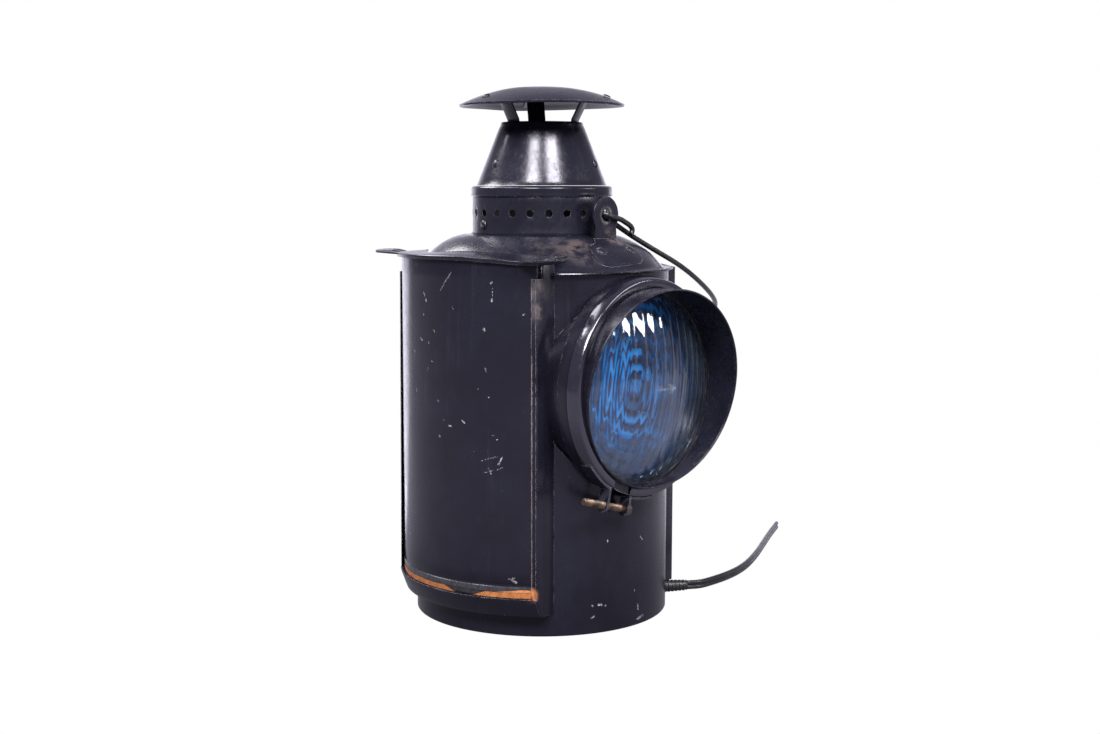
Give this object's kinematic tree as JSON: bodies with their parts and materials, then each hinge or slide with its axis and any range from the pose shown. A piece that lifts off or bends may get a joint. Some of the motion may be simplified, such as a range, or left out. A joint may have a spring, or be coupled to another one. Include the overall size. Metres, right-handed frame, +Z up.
{
  "type": "railway semaphore lamp",
  "caption": "Round sheet metal signal lamp with a hooded lens, a sliding door, a vented chimney, a wire bail and a mast socket, lit by a bulb on a short lead.",
  "frame": {"origin": "centre of the round base, on the surface that the lamp stands on", "axes": "+Z up along the body, -Y out of the lens, -X out of the sliding door, +X out of the mast socket"},
  "size_m": [0.43, 0.2266, 0.3825],
  "materials": {
    "black_paint": "gloss black paint, scratched",
    "door_paint": "gloss black paint, chipped",
    "worn_paint": "black paint worn thin",
    "bail_wire": "darkened wire",
    "bronze": "worn",
    "plain_steel": "plain",
    "clear_glass": "clear",
    "blue_glass": "clear blue",
    "bulb_glass": "frosted",
    "phenolic": "moulded",
    "rubber": "smooth"
  },
  "bodies": {
    "lamp": {"body_shell": "black_paint", "floor_pan": "black_paint", "door_casing": "black_paint", "vent_band": "black_paint", "vent_bead": "black_paint", "chimney_cone": "black_paint", "cap": "black_paint", "cap_strut_1": "black_paint", "cap_strut_2": "black_paint", "cap_strut_3": "black_paint", "cap_rivet_1": "black_paint", "cap_rivet_2": "black_paint", "cap_rivet_3": "black_paint", "lens_barrel": "black_paint", "lens_retaining_ring": "black_paint", "lens_hood": "black_paint", "mast_socket": "black_paint", "guide_rail_rear": "worn_paint", "guide_rail_front": "worn_paint", "roof_dome": "worn_paint", "cone_rivet_1": "worn_paint", "cone_rivet_2": "worn_paint", "cone_rivet_3": "worn_paint", "vent_screw_1": "worn_paint", "vent_screw_2": "worn_paint", "vent_screw_3": "worn_paint", "bail_lug_front": "worn_paint", "bail_lug_rear": "worn_paint", "lug_rivet_front_left": "worn_paint", "lug_rivet_front_right": "worn_paint", "lug_rivet_rear_left": "worn_paint", "lug_rivet_rear_right": "worn_paint", "clamp_band": "worn_paint", "draft_tube": "plain_steel", "colour_lens_holder": "plain_steel", "holder_bracket": "plain_steel", "outer_lens": "clear_glass", "colour_lens": "blue_glass", "lamp_holder": "phenolic", "lens_gasket": "rubber", "cord_grommet": "rubber", "internal_lead": "rubber", "power_cord": "rubber"},
    "door": {"door_panel": "door_paint", "door_top_plate": "worn_paint"},
    "bail": {"bail": "bail_wire"},
    "clamp_screw": {"clamp_screw": "bronze"},
    "bulb": {"bulb_cap": "bronze", "bulb_glass": "bulb_glass"}
  },
  "joints": [
    {"name": "door_slide", "type": "slide", "parent": "lamp", "child": "door", "axis": [0, 0, 1], "range_m": [0, 0.15]},
    {"name": "bail_swing", "type": "hinge", "parent": "lamp", "child": "bail", "pos_m": [0, 0, 0.2904], "axis": [0, -1, 0], "range_deg": [0, 133]},
    {"name": "clamp_screw_turn", "type": "hinge", "parent": "lamp", "child": "clamp_screw", "pos_m": [-0.04166, -0.0997, 0.09388], "axis": [0.9655, 0, -0.2605], "continuous": true},
    {"name": "bulb_turn", "type": "hinge", "parent": "lamp", "child": "bulb", "pos_m": [0, 0, 0.13], "axis": [0, 0, 1], "continuous": true}
  ]
}
